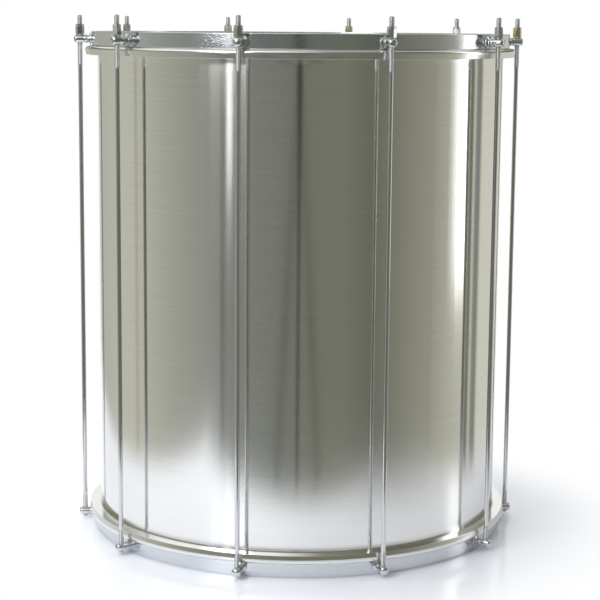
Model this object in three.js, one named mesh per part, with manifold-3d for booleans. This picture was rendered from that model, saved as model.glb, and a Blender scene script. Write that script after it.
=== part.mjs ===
// Surdo, a deep bass drum, in millimetres, +Z up.
// The origin is on the floor under the centre of the drum and the front of the drum looks along -Y.
// A thin shell stands between two heads. Each head is held in a flesh hoop, and a flat counterhoop
// presses on each flesh hoop. Long tension rods, screwed into the lower lugs, pass up through the
// upper lugs to the tuning nuts, which draw the two counterhoops together.

import * as THREE from 'three';
import { mergeVertices } from 'three/addons/utils/BufferGeometryUtils.js';
import Module from 'manifold-3d';

const wasm = await Module();
wasm.setup();

// Shell
const shellRadius = 254;
const shellLength = 600;
const shellWall = 1.5;
const edgeBend = 4; // outer radius of the rolled edge that carries a head
const edgeLip = 9; // how far the rolled edge reaches in from the outer face
const lipDrop = 1.2; // how far the lip leans back from the crest of the edge

// Heads
const filmThickness = 0.5;
const collarDrop = 3.2; // height of the film's sloping collar, below the bend of the shell's edge
const hemGap = 0.8; // below the film's hem, in its slot

// Flesh hoops
const fleshWidth = 13.8;
const fleshHeight = 10.5;
const fleshDrop = 4.8; // from the crest of the shell's edge down to a flesh hoop's face
const fleshTaper = 1.3; // how much narrower a flesh hoop is on the side of the drum's middle
const fleshFaceRadius = 5; // round corner next to the counterhoop
const fleshBaseRadius = 1.5; // round corner on the side of the drum's middle
const linerWidth = 0.9; // thin wall between the shell and the slot for the film
const linerDrop = 0.8; // how far that wall stays below the film's collar
const slotFloor = 1.8; // material under the slot

// Counterhoops
const hoopWall = 3;
const hoopHeight = 17.5;
const hoopChamfer = 0.6;
const lugDrop = 9.5; // from a counterhoop's outer edge to the axes of its lugs
const hoopSetback = 7; // how far a counterhoop's face stands back from its flesh hoop's

// Tension rods
const rodCount = 10;
const leftRodCount = 2; // rods between the front and the left side
const rodStandoffLength = 13.5; // from a counterhoop's face out to a rod's axis
const rodRadius = 2.7;
const threadRadius = 3;
const threadChamfer = 0.7;
const rodFootHeight = 2.5; // from the floor to the lower end of a rod
const rodTopHeight = 19.5; // from the upper counterhoop up to the upper end of a rod
const lowerThreadLength = 29;
const upperThreadLength = 57;

// Lugs, turned about their own axis
const lugRadius = 5.3;
const lugPastRod = 8; // from a rod's axis out to the lug's end
const lugDomeLength = 3.6;
const lugBaseRadius = 7.8;
const lugBaseThickness = 2.2;
const lugNeckRadius = 4.4;
const lugNeckLength = 1.8;
const spigotRadius = 3;
const rivetRadius = 4.6;
const rivetThickness = 1.8;

// Tuning nuts
const nutSides = 6;
const nutAcrossFlats = 9.5;
const nutHeight = 12.3;
const nutChamfer = 0.9; // on the upper corners of the hexagon
const seatDepth = 1.6; // of the nut's cone in the lug
const seatInset = 0.15; // how far the cone's wide end stays inside the flats
const seatTaper = 0.8; // how much the cone narrows

// Clearances
const pieceGap = 0.3; // between pieces that touch
const shellGap = 0.7; // between the shell and a flesh hoop
const threadGap = 0.45; // round a rod in a lug or a nut
const overrun = 3; // how far a cutting tool runs past what it cuts

// Facets on round pieces
const ringFacets = 50;
const lugFacets = 8;
const nutFacets = 12;
const boreFacets = 8;
const rodFacets = 8;
const bendSteps = 2;
const domeSteps = 2;

// Radii worked out from the sizes above, outwards
const bendRadius = shellRadius - edgeBend;
const linerRadius = shellRadius + shellGap;
const slotInner = linerRadius + linerWidth;
const hemInner = slotInner + pieceGap;
const hemOuter = hemInner + filmThickness;
const slotOuter = hemOuter + pieceGap;
const fleshRadius = linerRadius + fleshWidth;
const hoopRadius = fleshRadius - hoopSetback;
const rodCircle = hoopRadius + rodStandoffLength;
const lugEnd = rodCircle + lugPastRod;
const seatTopRadius = nutAcrossFlats / 2 - seatInset;
const seatEndRadius = seatTopRadius - seatTaper;

// Heights worked out from the sizes above, outwards from the crest of the shell's edge
const rimDepth = hoopHeight + pieceGap - fleshDrop; // the counterhoop's outer edge
const fleshBase = -fleshDrop - fleshHeight;
const slotBase = fleshBase + slotFloor;
const collarBase = -edgeBend - collarDrop;

// Heights above the floor
const drumHeight = shellLength + 2 * rimDepth;
const lowerCrest = rimDepth;
const upperCrest = drumHeight - rimDepth;
const flatShare = Math.cos(Math.PI / ringFacets);
const rodAngle = (index) => ((index + 1 / 2 - leftRodCount) * 2 * Math.PI) / rodCount;
const ringStart = rodAngle(0) + Math.PI / ringFacets; // puts the middle of a flat at each rod

const aluminium = { color: 0xb9bab6, roughness: 0.28, metalness: 1 };
const chrome = { color: 0xc3c7cb, roughness: 0.1, metalness: 1 };
const yellowZinc = { color: 0xb8a468, roughness: 0.25, metalness: 1 };
const whiteFilm = { color: 0xe9e8e2, roughness: 0.5, metalness: 0 };

// Points of a round corner, from one angle to another about its centre
function roundCorner(centreX, centreY, radius, from, to, steps) {
  return Array.from({ length: steps + 1 }, (_, step) => {
    const angle = from + ((to - from) * step) / steps;
    return [centreX + radius * Math.cos(angle), centreY + radius * Math.sin(angle)];
  });
}

// A geometry with shared vertices and no collapsed triangles
function closed(geometry) {
  const bare = new THREE.BufferGeometry();
  bare.setAttribute('position', geometry.getAttribute('position'));
  bare.setIndex(geometry.getIndex());
  const merged = mergeVertices(bare);
  const source = merged.getIndex().array;
  const kept = [];
  for (let start = 0; start < source.length; start += 3) {
    const [a, b, c] = source.slice(start, start + 3);
    if (a !== b && b !== c && c !== a) kept.push(a, b, c);
  }
  merged.setIndex(kept);
  merged.computeVertexNormals();
  return merged;
}

function toSolid(geometry) {
  const tidy = closed(geometry);
  return new wasm.Manifold(new wasm.Mesh({
    numProp: 3,
    vertProperties: new Float32Array(tidy.getAttribute('position').array),
    triVerts: new Uint32Array(tidy.getIndex().array),
  }));
}

function fromSolid(solid) {
  const mesh = solid.getMesh();
  const geometry = new THREE.BufferGeometry();
  geometry.setAttribute('position', new THREE.BufferAttribute(mesh.vertProperties, mesh.numProp));
  geometry.setIndex(new THREE.BufferAttribute(mesh.triVerts, 1));
  geometry.computeVertexNormals();
  return geometry;
}

// Turns a profile of [radius, height] points about the Z axis
function turned(profile, facets, start = 0) {
  const points = profile.map(([x, y]) => new THREE.Vector2(x, y));
  return new THREE.LatheGeometry(points, facets, start).rotateX(Math.PI / 2);
}

// The profile of a ring closes on itself
function ring(profile) {
  return turned([...profile, profile[0]], ringFacets, ringStart);
}

// Profiles for either end of the drum: their heights count outwards from the crest of its edge,
// so the lower end has the mirrored outline, reversed to keep its faces pointing out
const atUpperEnd = (profile) => profile.map(([x, y]) => [x, upperCrest + y]);
const atLowerEnd = (profile) => profile.map(([x, y]) => [x, lowerCrest - y]).reverse();

function addPiece(parent, name, geometry, look) {
  const mesh = new THREE.Mesh(geometry, new THREE.MeshStandardMaterial(look));
  mesh.name = name;
  parent.add(mesh);
  return mesh;
}

// Shell: one wall with both edges rolled inwards
function shellProfile() {
  const lipRadius = shellRadius - edgeLip;
  const innerBend = edgeBend - shellWall;
  const upperBend = upperCrest - edgeBend;
  const lowerBend = lowerCrest + edgeBend;
  const quarter = Math.PI / 2;
  return [
    ...roundCorner(bendRadius, lowerBend, edgeBend, -quarter, 0, bendSteps),
    ...roundCorner(bendRadius, upperBend, edgeBend, 0, quarter, bendSteps),
    [lipRadius, upperCrest - lipDrop],
    [lipRadius, upperCrest - lipDrop - shellWall],
    ...roundCorner(bendRadius, upperBend, innerBend, quarter, 0, bendSteps - 1),
    ...roundCorner(bendRadius, lowerBend, innerBend, 0, -quarter, bendSteps - 1),
    [lipRadius, lowerCrest + lipDrop + shellWall],
    [lipRadius, lowerCrest + lipDrop],
  ];
}

// Flesh hoop: a rolled ring with a slot that holds the film's hem
function fleshProfile() {
  const baseRadius = fleshRadius - fleshTaper - fleshBaseRadius;
  const faceRadius = fleshRadius - fleshFaceRadius;
  const linerTop = collarBase - linerDrop;
  const quarter = Math.PI / 2;
  return [
    [linerRadius, fleshBase],
    ...roundCorner(baseRadius, fleshBase + fleshBaseRadius, fleshBaseRadius, -quarter, 0, bendSteps - 1),
    ...roundCorner(faceRadius, -fleshDrop - fleshFaceRadius, fleshFaceRadius, 0, quarter, bendSteps),
    [slotOuter, -fleshDrop],
    [slotOuter, slotBase],
    [slotInner, slotBase],
    [slotInner, linerTop],
    [linerRadius, linerTop],
  ];
}

// Head: film laid over the rolled edge, down its collar and into the slot of the flesh hoop
function headProfile() {
  const under = edgeBend + pieceGap;
  const over = under + filmThickness;
  const hemBase = slotBase + hemGap;
  const quarter = Math.PI / 2;
  return [
    [0, pieceGap],
    ...roundCorner(bendRadius, -edgeBend, under, quarter, 0, bendSteps),
    [hemInner, collarBase],
    [hemInner, hemBase],
    [hemOuter, hemBase],
    [hemOuter, collarBase],
    ...roundCorner(bendRadius, -edgeBend, over, 0, quarter, bendSteps),
    [0, pieceGap + filmThickness],
  ];
}

// Counterhoop: a flat band with its outer corners broken
function hoopProfile() {
  const inner = hoopRadius - hoopWall;
  const base = rimDepth - hoopHeight;
  return [
    [inner, base],
    [hoopRadius - hoopChamfer, base],
    [hoopRadius, base + hoopChamfer],
    [hoopRadius, rimDepth - hoopChamfer],
    [hoopRadius - hoopChamfer, rimDepth],
    [inner, rimDepth],
  ];
}

// A counterhoop is drilled through at each rod for the lug's spigot
function drilledHoop(profile, lugHeight) {
  const bore = spigotRadius + pieceGap;
  const length = hoopWall + 2 * overrun;
  const middle = hoopRadius - hoopWall / 2;
  let hoop = toSolid(ring(profile));
  for (let index = 0; index < rodCount; index += 1) {
    const drill = new THREE.CylinderGeometry(bore, bore, length, boreFacets);
    drill.translate(0, -middle, 0).rotateZ(rodAngle(index)).translate(0, 0, lugHeight);
    hoop = hoop.subtract(toSolid(drill));
  }
  return fromSolid(hoop);
}

// Lug: a turned post with a rounded end, riveted to the counterhoop through its spigot
function lugProfile() {
  const lugSeat = hoopRadius * flatShare;
  const hoopInside = lugSeat - hoopWall;
  const rivetFace = hoopInside - pieceGap;
  const rivetEnd = rivetFace - rivetThickness;
  const base = lugSeat + pieceGap;
  const baseEnd = base + lugBaseThickness;
  const neckEnd = baseEnd + lugNeckLength;
  const domeStart = lugEnd - lugDomeLength;
  const dome = Array.from({ length: domeSteps - 1 }, (_, step) => {
    const angle = ((step + 1) * Math.PI) / 2 / domeSteps;
    return [lugRadius * Math.cos(angle), domeStart + lugDomeLength * Math.sin(angle)];
  });
  return [
    [0, rivetEnd],
    [rivetRadius, rivetEnd],
    [rivetRadius, rivetFace],
    [spigotRadius, rivetFace],
    [spigotRadius, base],
    [lugBaseRadius, base],
    [lugBaseRadius, baseEnd],
    [lugNeckRadius, (baseEnd + neckEnd) / 2],
    [lugRadius, neckEnd],
    [lugRadius, domeStart],
    ...dome,
    [0, lugEnd],
  ];
}

// The hole for the rod runs across the lug, and an upper lug is countersunk for the nut
function lugGeometry(isUpper) {
  const points = lugProfile().map(([x, y]) => new THREE.Vector2(x, y));
  const post = new THREE.LatheGeometry(points, lugFacets).rotateX(Math.PI);
  const bore = threadRadius + threadGap;
  const length = 2 * (lugRadius + overrun);
  const drill = new THREE.CylinderGeometry(bore, bore, length, boreFacets).rotateX(Math.PI / 2);
  let lug = toSolid(post).subtract(toSolid(drill.translate(0, -rodCircle, 0)));
  if (isUpper) {
    const slope = seatTaper / seatDepth;
    const top = lugRadius + pieceGap;
    const sink = [
      [0, top - seatDepth - pieceGap],
      [seatEndRadius + pieceGap, top - seatDepth - pieceGap],
      [seatTopRadius + pieceGap + slope * overrun, top - pieceGap + overrun],
      [0, top - pieceGap + overrun],
    ];
    const cutter = turned(sink, boreFacets).translate(0, -rodCircle, 0);
    lug = lug.subtract(toSolid(cutter));
  }
  return fromSolid(lug);
}

// Tuning nut: a long hexagon with its corners turned off and a cone below that centres it
function nutGeometry() {
  const cornerRadius = nutAcrossFlats / 2 / Math.cos(Math.PI / nutSides);
  const outside = cornerRadius + overrun;
  const blank = [
    [0, -seatDepth],
    [seatEndRadius, -seatDepth],
    [seatTopRadius, 0],
    [outside, 0],
    [outside, nutHeight - nutChamfer - overrun],
    [cornerRadius - nutChamfer, nutHeight],
    [0, nutHeight],
  ];
  const length = nutHeight + seatDepth + 2 * overrun;
  const middle = (nutHeight - seatDepth) / 2;
  const hexagon = new THREE.CylinderGeometry(cornerRadius, cornerRadius, length, nutSides);
  const bore = threadRadius + threadGap;
  const tap = new THREE.CylinderGeometry(bore, bore, length, boreFacets);
  const place = (tool) => toSolid(tool.rotateX(Math.PI / 2).translate(0, 0, middle));
  return fromSolid(toSolid(turned(blank, nutFacets)).intersect(place(hexagon)).subtract(place(tap)));
}

// Tension rod: a plain shank between two rolled threads
function rodGeometry() {
  const foot = rodFootHeight;
  const tip = drumHeight + rodTopHeight;
  const step = threadRadius - rodRadius;
  return turned([
    [0, foot],
    [threadRadius, foot],
    [threadRadius, foot + lowerThreadLength - step],
    [rodRadius, foot + lowerThreadLength],
    [rodRadius, tip - upperThreadLength],
    [threadRadius, tip - upperThreadLength + step],
    [threadRadius, tip - threadChamfer],
    [threadRadius - threadChamfer, tip],
    [0, tip],
  ], rodFacets);
}

const surdo = new THREE.Group();

addPiece(surdo, 'shell', closed(ring(shellProfile())), aluminium);
const upperHead = turned(atUpperEnd(headProfile()), ringFacets, ringStart);
const lowerHead = turned(atLowerEnd(headProfile()), ringFacets, ringStart);
addPiece(surdo, 'top_head', closed(upperHead), whiteFilm);
addPiece(surdo, 'bottom_head', closed(lowerHead), whiteFilm);
addPiece(surdo, 'top_flesh_hoop', closed(ring(atUpperEnd(fleshProfile()))), aluminium);
addPiece(surdo, 'bottom_flesh_hoop', closed(ring(atLowerEnd(fleshProfile()))), aluminium);

const upperLugHeight = drumHeight - lugDrop;
const lowerLugHeight = lugDrop;
addPiece(surdo, 'top_counterhoop', drilledHoop(atUpperEnd(hoopProfile()), upperLugHeight), chrome);
addPiece(surdo, 'bottom_counterhoop', drilledHoop(atLowerEnd(hoopProfile()), lowerLugHeight), chrome);

// One station round the drum holds a rod, its nut and its two lugs
for (let index = 0; index < rodCount; index += 1) {
  const label = String(index + 1).padStart(2, '0');
  const station = new THREE.Group();
  station.rotation.z = rodAngle(index);
  surdo.add(station);

  const rod = addPiece(station, `tension_rod_${label}`, closed(rodGeometry()), chrome);
  rod.position.y = -rodCircle;
  const upperLug = addPiece(station, `upper_lug_${label}`, lugGeometry(true), chrome);
  upperLug.position.z = upperLugHeight;
  const lowerLug = addPiece(station, `lower_lug_${label}`, lugGeometry(false), chrome);
  lowerLug.position.z = lowerLugHeight;

  const isYellow = index === 4 || index === 6;
  const nut = addPiece(station, `tuning_nut_${label}`, nutGeometry(), isYellow ? yellowZinc : chrome);
  nut.position.set(0, -rodCircle, upperLugHeight + lugRadius + pieceGap);
}

export default surdo;
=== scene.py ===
# %% [markdown]
# # A surdo in the studio
# A surdo is the deep bass drum of samba: a thin metal shell with a head at each end. A flat
# counterhoop presses on the flesh hoop of each head, and long tension rods pull the two
# counterhoops together. This lesson dresses a finished mechanical model of one.
#
# The mechanical model is the frame. It says where every piece is and how it moves, so each piece
# made here takes its place, and only the roundness, the fine shapes and the finishes are new.

import math

import bpy
import numpy as np
from mathutils import Matrix, Vector


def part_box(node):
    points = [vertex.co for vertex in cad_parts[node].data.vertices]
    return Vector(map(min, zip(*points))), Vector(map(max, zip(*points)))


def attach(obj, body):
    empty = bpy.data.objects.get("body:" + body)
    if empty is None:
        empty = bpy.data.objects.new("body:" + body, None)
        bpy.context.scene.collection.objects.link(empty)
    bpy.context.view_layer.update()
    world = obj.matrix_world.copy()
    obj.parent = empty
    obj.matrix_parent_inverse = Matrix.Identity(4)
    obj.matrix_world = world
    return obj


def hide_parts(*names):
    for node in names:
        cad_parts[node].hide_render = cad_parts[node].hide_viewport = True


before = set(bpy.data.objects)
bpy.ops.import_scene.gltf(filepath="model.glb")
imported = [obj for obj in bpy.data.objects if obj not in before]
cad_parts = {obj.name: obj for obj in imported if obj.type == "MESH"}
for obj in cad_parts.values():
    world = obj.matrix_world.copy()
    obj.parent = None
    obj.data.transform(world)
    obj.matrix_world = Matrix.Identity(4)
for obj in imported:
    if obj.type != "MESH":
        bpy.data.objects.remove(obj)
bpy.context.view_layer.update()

# %% [markdown]
# ## The drum's sizes
# Blender counts in metres and a drum maker in millimetres, so the sizes are written in
# millimetres and every mesh is scaled once, where it is made. The frame's boxes give the main
# sizes, and the small ones are measured from them.

# %% Sizes in millimetres
MM = 0.001


def size_of(node):
    """Lowest and highest corner of a node, in millimetres."""
    low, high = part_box(node)
    return low / MM, high / MM


shell_low, shell_high = size_of("shell")
lower_crest, upper_crest = shell_low.z, shell_high.z
shell_radius = shell_high.y
flesh_radius = size_of("top_flesh_hoop")[1].y
hoop_low, hoop_high = size_of("top_counterhoop")
hoop_radius = hoop_high.y
drum_height = hoop_high.z
hoop_height = hoop_high.z - hoop_low.z
rod_low, rod_high = size_of("tension_rod_05")
rod_circle = (rod_low.x + rod_high.x) / 2
nut_high = size_of("tuning_nut_05")[1]
stations = len([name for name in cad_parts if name.startswith("tension_rod_")])
station_step = math.tau / stations
first_station = -station_step * 1.5
labels = [f"{index + 1:02d}" for index in range(stations)]
print("rods", round(rod_circle, 1), "mm from the axis at", stations, "stations")

# %% [markdown]
# ## The camera
# The photograph was taken with a long lens from a little above the drum's rim. The drum's rods
# gave the camera's place: it stands a few degrees left of the front, looks slightly down and is
# tilted by half a degree. The studio's own places are in metres.

# %% Camera
CAMERA_DISTANCE = 2.189
CAMERA_HEIGHT = 0.6345
CAMERA_SIDE = math.radians(-3.61)
CAMERA_DOWN = math.radians(9.045)
CAMERA_TILT = math.radians(0.46)
CAMERA_TURN = math.radians(-0.06)
LENS, SENSOR_WIDTH = 103.4, 36.0
NEAREST_SEEN, FARTHEST_SEEN = 0.05, 50.0

camera_data = bpy.data.cameras.new("studio_camera")
camera_data.sensor_width = SENSOR_WIDTH
camera_data.lens = LENS
camera_data.clip_start = NEAREST_SEEN
camera_data.clip_end = FARTHEST_SEEN
camera = bpy.data.objects.new("studio_camera", camera_data)
bpy.context.scene.collection.objects.link(camera)
camera_place = (
    CAMERA_DISTANCE * math.sin(CAMERA_SIDE),
    -CAMERA_DISTANCE * math.cos(CAMERA_SIDE),
    CAMERA_HEIGHT,
)
camera.matrix_world = (
    Matrix.Translation(camera_place)
    @ Matrix.Rotation(CAMERA_SIDE + CAMERA_TURN, 4, "Z")
    @ Matrix.Rotation(math.pi / 2 - CAMERA_DOWN, 4, "X")
    @ Matrix.Rotation(CAMERA_TILT, 4, "Z")
)
bpy.context.scene.camera = camera
print("camera at", [round(value, 3) for value in camera_place])

# %% [markdown]
# ## Building shader trees
# The room and every finish below are small trees of nodes. A few helpers keep them short: one adds
# a node with its settings and links, the others do arithmetic, fill a colour ramp, fade, mix, and
# send the result out.


# %% Node helpers
def feed(tree, socket, value):
    """Links another node's socket to this one, or fills it with a plain value."""
    if isinstance(value, bpy.types.NodeSocket):
        tree.links.new(value, socket)
    else:
        socket.default_value = value


def add_node(tree, kind, **settings):
    """A new node. Settings that name a socket feed it, the others are the node's own."""
    node = tree.nodes.new(kind)
    for name, value in settings.items():
        if hasattr(node, name):
            setattr(node, name, value)
        else:
            feed(tree, node.inputs[name.replace("_", " ")], value)
    return node


def math_node(tree, operation, *values, clamp=False):
    """One step of arithmetic on numbers or sockets."""
    node = add_node(tree, "ShaderNodeMath", operation=operation, use_clamp=clamp)
    for socket, value in zip(node.inputs, values):
        feed(tree, socket, value)
    return node.outputs[0]


def ramp_node(tree, factor, stops):
    """A colour ramp through (place, colour) stops."""
    node = add_node(tree, "ShaderNodeValToRGB", Fac=factor)
    ramp = node.color_ramp
    while len(ramp.elements) < len(stops):
        ramp.elements.new(1.0)
    for element, (place, colour) in zip(ramp.elements, stops):
        element.position = place
        element.color = (*colour, 1.0)
    return node.outputs["Color"]


def range_node(tree, value, low, high, to_low, to_high, smooth=False):
    """Maps a value from one range to another."""
    node = add_node(
        tree,
        "ShaderNodeMapRange",
        interpolation_type="SMOOTHSTEP" if smooth else "LINEAR",
        Value=value,
        From_Min=low,
        From_Max=high,
        To_Min=to_low,
        To_Max=to_high,
    )
    return node.outputs["Result"]


def fade_in(tree, value, start, end, least=0.0):
    """Rises smoothly to 1 while a value goes from start to end, from 0 or from a given least."""
    return range_node(tree, value, start, end, least, 1.0, smooth=True)


def mix_node(tree, share, first, second, kind="RGBA"):
    """Mixes two colours, or two numbers where kind is FLOAT, by a share of the second."""
    node = add_node(tree, "ShaderNodeMix", data_type=kind, Factor=share, A=first, B=second)
    return node.outputs["Result"]


def mix_shader(tree, share, first, second):
    """Mixes two shaders by a share of the second."""
    node = add_node(tree, "ShaderNodeMixShader")
    for place, source in enumerate((share, first.outputs[0], second.outputs[0])):
        tree.links.new(source, node.inputs[place])
    return node


def send_out(tree, shader, kind="ShaderNodeOutputMaterial"):
    """Makes a shader the one that the tree shows."""
    add_node(tree, kind, Surface=shader.outputs[0])


def empty_finish(name):
    """A new material and its empty tree."""
    finish = bpy.data.materials.new(name)
    finish.use_nodes = True
    finish.node_tree.nodes.clear()
    return finish, finish.node_tree


# %% [markdown]
# ## The studio
# Polished metal has hardly any colour of its own: it shows the room. The drum stands on a white
# sweep in a studio that is dark behind the camera, pale at both sides and white behind the drum,
# under a large soft ceiling. The room is painted on the world as bands of brightness round the
# horizon. For the camera itself the background is plain white.

# %% The room round the drum
world = bpy.data.worlds.new("studio_room")
bpy.context.scene.world = world
world.use_nodes = True
room = world.node_tree
room.nodes.clear()
direction = add_node(room, "ShaderNodeTexCoord").outputs["Generated"]
axes = add_node(room, "ShaderNodeSeparateXYZ", Vector=direction)
height = axes.outputs["Z"]
toward_camera = math_node(room, "MULTIPLY", axes.outputs["Y"], -1.0)
bearing = math_node(room, "ARCTAN2", axes.outputs["X"], toward_camera)
# 0 to 1 round the horizon, with the camera's side in the middle
round_room = range_node(room, bearing, -math.pi, math.pi, 0.0, 1.0)
HALF_ROUND, ALL_ROUND = 180.0, 360.0


def round_horizon(bands):
    """A ramp round the room. Each band is degrees to the camera's right, then red, green, blue."""
    stops = [((degrees + HALF_ROUND) / ALL_ROUND, colour) for degrees, *colour in bands]
    print("bands round the room:", len(stops))
    return ramp_node(room, round_room, stops)


WALL_BANDS = [
    (-180, 0.58, 0.58, 0.54),
    (-150, 0.46, 0.465, 0.4),
    (-120, 0.52, 0.525, 0.45),
    (-108.6, 0.51, 0.515, 0.44),
    (-107.2, 0.3, 0.3, 0.25),
    (-105.8, 0.5, 0.5, 0.43),
    (-80, 0.375, 0.38, 0.325),
    (-58, 0.29, 0.295, 0.26),
    (-48, 0.24, 0.25, 0.225),
    (-46.5, 0.12, 0.13, 0.12),
    (-44.5, 0.2, 0.21, 0.19),
    (-28, 0.2, 0.21, 0.19),
    (-10, 0.18, 0.19, 0.165),
    (3, 0.185, 0.19, 0.155),
    (20, 0.185, 0.19, 0.15),
    (37, 0.145, 0.15, 0.12),
    (50, 0.2, 0.205, 0.165),
    (75.8, 0.31, 0.31, 0.25),
    (76.5, 0.22, 0.22, 0.18),
    (77.2, 0.33, 0.33, 0.27),
    (88, 0.42, 0.42, 0.35),
    (104, 0.5, 0.5, 0.42),
    (107.5, 0.13, 0.13, 0.1),
    (109.6, 0.13, 0.13, 0.1),
    (110.6, 0.62, 0.62, 0.54),
    (112, 0.62, 0.62, 0.54),
    (113, 0.23, 0.24, 0.22),
    (118.8, 0.2, 0.21, 0.19),
    (120, 0.63, 0.62, 0.54),
    (180, 0.58, 0.58, 0.54),
]
walls = round_horizon(WALL_BANDS)

# %% [markdown]
# The camera stands on a dark tripod in the middle of the dark side. In the shell it shows as a
# fine dark line with two legs that spread downwards, and in the upper counterhoop as a dark spot.

# %% The tripod's reflection
WALL_STRENGTH = 1.03
LEG_TOP, LEG_SLOPE = 0.03, 0.87
# where each dark shape starts to end and ends, from its middle, and the light that it leaves
COLUMN_EDGE, COLUMN_LIGHT = (0.006, 0.022), 0.35
LEG_EDGE, LEG_LIGHT = (0.012, 0.03), 0.4
SPOT_SIDE_EDGE, SPOT_LEVEL_EDGE, SPOT_LIGHT = (0.018, 0.036), (0.016, 0.03), 0.12

from_camera = math_node(room, "ABSOLUTE", math_node(room, "SUBTRACT", bearing, CAMERA_SIDE))
below_horizon = math_node(room, "MULTIPLY", height, -1.0)
below_top = math_node(room, "MAXIMUM", math_node(room, "SUBTRACT", below_horizon, LEG_TOP), 0.0)
leg_spread = math_node(room, "MULTIPLY", below_top, LEG_SLOPE)
from_leg = math_node(room, "ABSOLUTE", math_node(room, "SUBTRACT", from_camera, leg_spread))
column = fade_in(room, from_camera, *COLUMN_EDGE, COLUMN_LIGHT)
legs = fade_in(room, from_leg, *LEG_EDGE, LEG_LIGHT)
beside_spot = fade_in(room, from_camera, *SPOT_SIDE_EDGE)
off_spot = fade_in(room, math_node(room, "ABSOLUTE", height), *SPOT_LEVEL_EDGE)
round_spot = math_node(room, "MAXIMUM", beside_spot, off_spot)
spot = math_node(room, "MAXIMUM", round_spot, SPOT_LIGHT)
tripod = math_node(room, "MULTIPLY", math_node(room, "MULTIPLY", column, legs), spot)
wall_light = math_node(room, "MULTIPLY", tripod, WALL_STRENGTH)
shaded = add_node(room, "ShaderNodeVectorMath", operation="SCALE", Vector=walls, Scale=wall_light)

# %% [markdown]
# Above the walls runs a dark rail. Above it, a large white panel leans over the drum from the left
# as far as the camera. The right side has none, so the edges of the drum that look up are bright
# on the left and grey on the right. The ceiling over it is grey. Behind the drum everything is
# white, for the camera and in the metal alike.

# %% The upper panel and the white background
WHITE = (1.0, 1.0, 1.0, 1.0)
RAIL_COLOUR, CEILING_COLOUR = (0.17, 0.17, 0.12, 1.0), (0.5, 0.5, 0.49, 1.0)
# the heights between which one part gives way to the next, 0 at the horizon and 1 overhead
RAIL_FADE, PANEL_FADE, CEILING_FADE = (0.03, 0.08), (0.26, 0.34), (0.72, 0.86)
BACKDROP_FADE = math.radians(158), math.radians(168)

PANEL_BANDS = [
    (-180, 1.2, 1.2, 1.18),
    (-150, 0.95, 0.95, 0.92),
    (-118, 0.66, 0.67, 0.65),
    (-103, 0.95, 0.96, 0.94),
    (-94, 1.25, 1.26, 1.24),
    (-16, 1.25, 1.24, 1.18),
    (-4, 0.8, 0.8, 0.76),
    (12, 0.28, 0.28, 0.25),
    (50, 0.15, 0.15, 0.125),
    (84, 0.17, 0.17, 0.14),
    (93, 0.7, 0.7, 0.68),
    (102, 0.9, 0.9, 0.88),
    (107, 0.48, 0.48, 0.45),
    (135, 0.42, 0.42, 0.4),
    (160, 0.8, 0.8, 0.78),
    (180, 1.2, 1.2, 1.18),
]
upper = round_horizon(PANEL_BANDS)
rail_share = fade_in(room, height, *RAIL_FADE)
rail = mix_node(room, rail_share, shaded.outputs[0], RAIL_COLOUR)
panel = mix_node(room, fade_in(room, height, *PANEL_FADE), rail, upper)
ceiling = mix_node(room, fade_in(room, height, *CEILING_FADE), panel, CEILING_COLOUR)
room_light = add_node(room, "ShaderNodeBackground", Color=ceiling, Strength=1.0)
white_view = add_node(room, "ShaderNodeBackground", Color=WHITE, Strength=1.0)
rays = add_node(room, "ShaderNodeLightPath")
behind_drum = fade_in(room, math_node(room, "ABSOLUTE", bearing), *BACKDROP_FADE)
mirrored_white = math_node(room, "MULTIPLY", rays.outputs["Is Glossy Ray"], behind_drum)
white_share = math_node(room, "MAXIMUM", rays.outputs["Is Camera Ray"], mirrored_white)
send_out(room, mix_shader(room, white_share, room_light, white_view), "ShaderNodeOutputWorld")

# %% [markdown]
# ## The floor
# The sweep is a glossy white board. Near the drum it is a real surface that takes shadows and a
# faint mirror image. Further out it fades into the white background. In the metal it ends softly,
# a little over half a metre from the drum's middle, and beyond it the room shows instead.

# %% Floor
FLOOR_HALF = 4.0
BOARD_COLOUR, BOARD_ROUGHNESS = (0.88, 0.905, 0.98, 1.0), 0.16
FADE_TO_WHITE = (0.31, 0.46)

corners = ((-1, -1), (1, -1), (1, 1), (-1, 1))
floor_corners = [(x * FLOOR_HALF, y * FLOOR_HALF, 0.0) for x, y in corners]
floor_mesh = bpy.data.meshes.new("floor")
floor_mesh.from_pydata(floor_corners, [], [(0, 1, 2, 3)])
floor = bpy.data.objects.new("floor", floor_mesh)
bpy.context.scene.collection.objects.link(floor)

floor_finish, board = empty_finish("white_board")
floor_mesh.materials.append(floor_finish)
place = add_node(board, "ShaderNodeTexCoord").outputs["Object"]
distance = add_node(board, "ShaderNodeVectorMath", operation="LENGTH", Vector=place)
floor_axes = add_node(board, "ShaderNodeSeparateXYZ", Vector=place)
to_right = floor_axes.outputs["X"]
to_left = math_node(board, "MULTIPLY", to_right, -1.0)
to_front = math_node(board, "MULTIPLY", floor_axes.outputs["Y"], -1.0)
right_and_front = math_node(board, "ADD", to_right, to_front)
to_corner = math_node(board, "MULTIPLY", right_and_front, math.sqrt(0.5))
past_board = 0.0
# how far the board reaches each way, and how soft its edge is within that and past it
for way, reach, within, past in (
    (to_left, 0.62, 0.07, 0.12),
    (to_front, 0.55, 0.09, 0.15),
    (to_right, 0.57, 0.14, 0.14),
    (to_corner, 0.6, 0.24, 0.24),
):
    past_edge = fade_in(board, way, reach - within, reach + past)
    past_board = math_node(board, "MAXIMUM", past_board, past_edge)

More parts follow.
